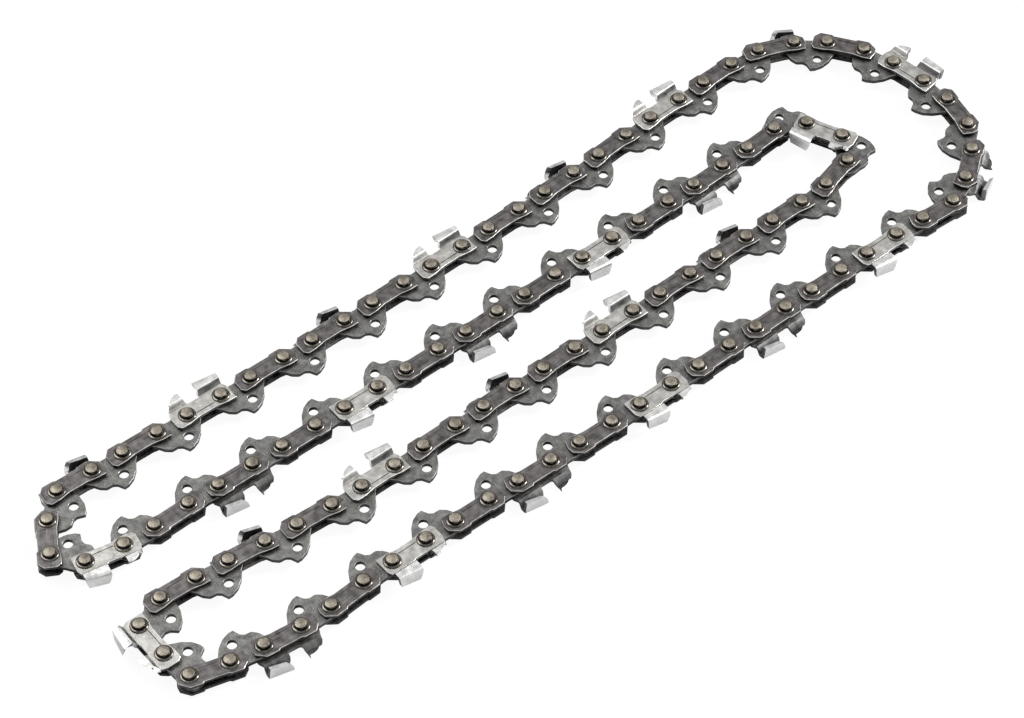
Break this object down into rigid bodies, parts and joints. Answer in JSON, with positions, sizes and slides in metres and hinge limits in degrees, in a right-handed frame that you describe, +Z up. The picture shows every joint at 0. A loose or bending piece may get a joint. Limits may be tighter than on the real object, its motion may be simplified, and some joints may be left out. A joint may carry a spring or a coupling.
{
  "type": "chainsaw chain",
  "caption": "Low-profile chainsaw chain, a closed loop folded in a horseshoe: drive links with tangs, tie straps, cutters and rivets.",
  "frame": {"origin": "on the ground under the middle of the folded loop, which lies on its side", "axes": "+X along the loop's long stretches, towards the inner turn; +Z up, across the chain; +Y towards the stretch with unit 1"},
  "size_m": [0.2776, 0.0856, 0.0067],
  "materials": {
    "dark_strap_steel": "blackened satin, fine lengthwise grain",
    "drive_link_steel": "dark satin",
    "bright_cutter_steel": "bright satin, polished on the fold",
    "rivet_steel": "smooth, warm grey"
  },
  "bodies": {
    "fixed_stretches": {"right_cutter_section_25_26": "dark_strap_steel", "right_cutter_section_29": "dark_strap_steel", "right_cutter_section_33_34": "dark_strap_steel", "right_cutter_section_37_38": "dark_strap_steel", "right_cutter_section_41_42": "dark_strap_steel", "rivet_45_1": "rivet_steel", "rivet_45_2": "rivet_steel", "tie_strap_lower_45": "dark_strap_steel", "tie_strap_upper_45": "dark_strap_steel", "tie_strap_section_47": "dark_strap_steel", "right_cutter_section_50_51": "dark_strap_steel", "right_cutter_section_54_55": "dark_strap_steel", "left_cutter_section_02_03": "dark_strap_steel", "left_cutter_section_06_07": "dark_strap_steel", "left_cutter_section_10_11": "dark_strap_steel", "left_cutter_section_15": "dark_strap_steel", "left_cutter_section_19_20": "dark_strap_steel", "left_cutter_section_23_24": "dark_strap_steel"},
    "section_27": {"left_cutter_section_27": "dark_strap_steel"},
    "section_28": {"tie_strap_section_28": "dark_strap_steel"},
    "section_30": {"tie_strap_section_30": "dark_strap_steel"},
    "section_31": {"left_cutter_section_31": "dark_strap_steel"},
    "section_32": {"tie_strap_section_32": "dark_strap_steel"},
    "section_35": {"left_cutter_section_35": "dark_strap_steel"},
    "section_36": {"tie_strap_section_36": "dark_strap_steel"},
    "section_39": {"left_cutter_section_39": "dark_strap_steel"},
    "section_40": {"tie_strap_section_40": "dark_strap_steel"},
    "section_43": {"tie_strap_section_43": "dark_strap_steel"},
    "side_pair_44": {"left_cutter_44": "bright_cutter_steel", "rivet_44_1": "rivet_steel", "rivet_44_2": "rivet_steel", "tie_strap_lower_44": "dark_strap_steel"},
    "drive_link_44": {"drive_link_44": "drive_link_steel"},
    "drive_link_45": {"drive_link_45": "drive_link_steel"},
    "side_pair_46": {"right_cutter_46": "bright_cutter_steel", "rivet_46_1": "rivet_steel", "rivet_46_2": "rivet_steel", "tie_strap_upper_46": "dark_strap_steel"},
    "drive_link_46": {"drive_link_46": "drive_link_steel"},
    "section_48": {"left_cutter_section_48": "dark_strap_steel"},
    "section_49": {"tie_strap_section_49": "dark_strap_steel"},
    "section_52": {"left_cutter_section_52": "dark_strap_steel"},
    "section_53": {"tie_strap_section_53": "dark_strap_steel"},
    "section_56": {"left_cutter_section_56": "dark_strap_steel"},
    "section_57": {"tie_strap_section_57": "dark_strap_steel"},
    "section_01": {"right_cutter_section_01": "dark_strap_steel"},
    "section_04": {"tie_strap_section_04": "dark_strap_steel"},
    "section_05": {"right_cutter_section_05": "dark_strap_steel"},
    "section_08": {"tie_strap_section_08": "dark_strap_steel"},
    "section_09": {"right_cutter_section_09": "dark_strap_steel"},
    "section_12": {"tie_strap_section_12": "dark_strap_steel"},
    "section_13": {"right_cutter_section_13": "dark_strap_steel"},
    "section_14": {"tie_strap_section_14": "dark_strap_steel"},
    "section_16": {"tie_strap_section_16": "dark_strap_steel"},
    "section_17": {"right_cutter_section_17": "dark_strap_steel"},
    "section_18": {"tie_strap_section_18": "dark_strap_steel"},
    "section_21": {"right_cutter_section_21": "dark_strap_steel"},
    "section_22": {"tie_strap_section_22": "dark_strap_steel"}
  },
  "joints": [
    {"name": "pivot_27", "type": "hinge", "parent": "fixed_stretches", "child": "section_27", "pos_m": [-0.06244, -0.03424, 0.00333], "axis": [0, 0, 1], "range_deg": [-10, 10]},
    {"name": "pivot_28", "type": "hinge", "parent": "section_27", "child": "section_28", "pos_m": [-0.08149, -0.03453, 0.00333], "axis": [0, 0, 1], "range_deg": [-20, 20]},
    {"name": "pivot_30", "type": "hinge", "parent": "fixed_stretches", "child": "section_30", "pos_m": [-0.1194, -0.03266, 0.00333], "axis": [0, 0, 1], "range_deg": [-14.04, 14.04]},
    {"name": "pivot_31", "type": "hinge", "parent": "section_30", "child": "section_31", "pos_m": [-0.13008, -0.02097, 0.00333], "axis": [0, 0, 1], "range_deg": [-25, 25]},
    {"name": "pivot_32", "type": "hinge", "parent": "section_31", "child": "section_32", "pos_m": [-0.12168, -0.00765, 0.00333], "axis": [0, 0, 1], "range_deg": [-23.71, 23.71]},
    {"name": "pivot_35", "type": "hinge", "parent": "fixed_stretches", "child": "section_35", "pos_m": [-0.06472, -0.012, 0.00333], "axis": [0, 0, -1], "range_deg": [-10, 10]},
    {"name": "pivot_36", "type": "hinge", "parent": "section_35", "child": "section_36", "pos_m": [-0.04567, -0.0119, 0.00333], "axis": [0, 0, -1], "range_deg": [-20, 20]},
    {"name": "pivot_39", "type": "hinge", "parent": "fixed_stretches", "child": "section_39", "pos_m": [0.01148, -0.01185, 0.00333], "axis": [0, 0, -1], "range_deg": [-10, 10]},
    {"name": "pivot_40", "type": "hinge", "parent": "section_39", "child": "section_40", "pos_m": [0.03053, -0.01187, 0.00333], "axis": [0, 0, -1], "range_deg": [-20, 20]},
    {"name": "pivot_43", "type": "hinge", "parent": "fixed_stretches", "child": "section_43", "pos_m": [0.08766, -0.01129, 0.00333], "axis": [0, 0, 1], "range_deg": [-4.65, 0.74]},
    {"name": "pivot_44", "type": "hinge", "parent": "section_43", "child": "side_pair_44", "pos_m": [0.10237, -0.00135, 0.00333], "axis": [0, 0, 1], "range_deg": [-2.49, 15.56]},
    {"name": "pivot_44_2", "type": "hinge", "parent": "side_pair_44", "child": "drive_link_44", "pos_m": [0.09827, 0.0079, 0.00333], "axis": [0, 0, 1], "range_deg": [-25, 4]},
    {"name": "pivot_45_2", "type": "hinge", "parent": "fixed_stretches", "child": "drive_link_45", "pos_m": [0.08013, 0.01117, 0.00333], "axis": [0, 0, 1], "range_deg": [-7.03, 7.03]},
    {"name": "pivot_46", "type": "hinge", "parent": "drive_link_45", "child": "side_pair_46", "pos_m": [0.07121, 0.01075, 0.00333], "axis": [0, 0, 1], "range_deg": [-22.04, 22.04]},
    {"name": "pivot_46_2", "type": "hinge", "parent": "side_pair_46", "child": "drive_link_46", "pos_m": [0.06109, 0.01044, 0.00333], "axis": [0, 0, 1], "range_deg": [-25, 25]},
    {"name": "pivot_48", "type": "hinge", "parent": "fixed_stretches", "child": "section_48", "pos_m": [0.03311, 0.01002, 0.00333], "axis": [0, 0, 1], "range_deg": [-10, 10]},
    {"name": "pivot_49", "type": "hinge", "parent": "section_48", "child": "section_49", "pos_m": [0.01406, 0.00987, 0.00333], "axis": [0, 0, 1], "range_deg": [-20, 20]},
    {"name": "pivot_52", "type": "hinge", "parent": "fixed_stretches", "child": "section_52", "pos_m": [-0.04308, 0.00992, 0.00333], "axis": [0, 0, 1], "range_deg": [-10, 10]},
    {"name": "pivot_53", "type": "hinge", "parent": "section_52", "child": "section_53", "pos_m": [-0.06213, 0.01016, 0.00333], "axis": [0, 0, 1], "range_deg": [-20, 20]},
    {"name": "pivot_56", "type": "hinge", "parent": "fixed_stretches", "child": "section_56", "pos_m": [-0.11928, 0.01074, 0.00333], "axis": [0, 0, -1], "range_deg": [-10.38, 14.41]},
    {"name": "pivot_57", "type": "hinge", "parent": "section_56", "child": "section_57", "pos_m": [-0.1346, 0.01976, 0.00333], "axis": [0, 0, -1], "range_deg": [-22.64, 16.3]},
    {"name": "pivot_1", "type": "hinge", "parent": "section_57", "child": "section_01", "pos_m": [-0.12265, 0.03428, 0.00333], "axis": [0, 0, -1], "range_deg": [-18, 25]},
    {"name": "pivot_4", "type": "hinge", "parent": "fixed_stretches", "child": "section_04", "pos_m": [-0.06553, 0.03254, 0.00333], "axis": [0, 0, -1], "range_deg": [-10, 10]},
    {"name": "pivot_5", "type": "hinge", "parent": "section_04", "child": "section_05", "pos_m": [-0.04648, 0.03226, 0.00333], "axis": [0, 0, -1], "range_deg": [-20, 20]},
    {"name": "pivot_8", "type": "hinge", "parent": "fixed_stretches", "child": "section_08", "pos_m": [0.01067, 0.03268, 0.00333], "axis": [0, 0, -1], "range_deg": [-10, 10]},
    {"name": "pivot_9", "type": "hinge", "parent": "section_08", "child": "section_09", "pos_m": [0.02971, 0.03316, 0.00333], "axis": [0, 0, -1], "range_deg": [-20, 20]},
    {"name": "pivot_12", "type": "hinge", "parent": "fixed_stretches", "child": "section_12", "pos_m": [0.08677, 0.03616, 0.00333], "axis": [0, 0, -1], "range_deg": [-7.57, 7.57]},
    {"name": "pivot_13", "type": "hinge", "parent": "section_12", "child": "section_13", "pos_m": [0.10578, 0.03566, 0.00333], "axis": [0, 0, -1], "range_deg": [-20, 20]},
    {"name": "pivot_14", "type": "hinge", "parent": "section_13", "child": "section_14", "pos_m": [0.12207, 0.02617, 0.00333], "axis": [0, 0, -1], "range_deg": [-19.22, 19.22]},
    {"name": "pivot_16", "type": "hinge", "parent": "fixed_stretches", "child": "section_16", "pos_m": [0.13247, -0.00954, 0.00333], "axis": [0, 0, 1], "range_deg": [-7.6, 7.6]},
    {"name": "pivot_17", "type": "hinge", "parent": "section_16", "child": "section_17", "pos_m": [0.12514, -0.02664, 0.00333], "axis": [0, 0, 1], "range_deg": [-19.99, 19.99]},
    {"name": "pivot_18", "type": "hinge", "parent": "section_17", "child": "section_18", "pos_m": [0.10896, -0.03652, 0.00333], "axis": [0, 0, 1], "range_deg": [-20, 20]},
    {"name": "pivot_21", "type": "hinge", "parent": "fixed_stretches", "child": "section_21", "pos_m": [0.05184, -0.0356, 0.00333], "axis": [0, 0, 1], "range_deg": [-10, 10]},
    {"name": "pivot_22", "type": "hinge", "parent": "section_21", "child": "section_22", "pos_m": [0.03279, -0.03572, 0.00333], "axis": [0, 0, 1], "range_deg": [-20, 20]}
  ],
  "couplings": [
    {"joint": "pivot_27", "follows": "pivot_28", "ratio": -0.5},
    {"joint": "pivot_30", "follows": "pivot_31", "ratio": -0.5615},
    {"joint": "pivot_32", "follows": "pivot_31", "ratio": -0.9486},
    {"joint": "pivot_35", "follows": "pivot_36", "ratio": -0.5},
    {"joint": "pivot_39", "follows": "pivot_40", "ratio": -0.5},
    {"joint": "pivot_43", "follows": "pivot_44_2", "ratio": 0.186},
    {"joint": "pivot_44", "follows": "pivot_44_2", "ratio": -0.6226},
    {"joint": "pivot_45_2", "follows": "pivot_46_2", "ratio": 0.2811},
    {"joint": "pivot_46", "follows": "pivot_46_2", "ratio": -0.8816},
    {"joint": "pivot_48", "follows": "pivot_49", "ratio": -0.5},
    {"joint": "pivot_52", "follows": "pivot_53", "ratio": -0.5},
    {"joint": "pivot_56", "follows": "pivot_1", "ratio": 0.5764},
    {"joint": "pivot_57", "follows": "pivot_1", "ratio": -0.9058},
    {"joint": "pivot_4", "follows": "pivot_5", "ratio": -0.5},
    {"joint": "pivot_8", "follows": "pivot_9", "ratio": -0.5},
    {"joint": "pivot_12", "follows": "pivot_13", "ratio": -0.3787},
    {"joint": "pivot_14", "follows": "pivot_13", "ratio": -0.9612},
    {"joint": "pivot_16", "follows": "pivot_18", "ratio": 0.38},
    {"joint": "pivot_17", "follows": "pivot_18", "ratio": -0.9997},
    {"joint": "pivot_21", "follows": "pivot_22", "ratio": -0.5}
  ]
}
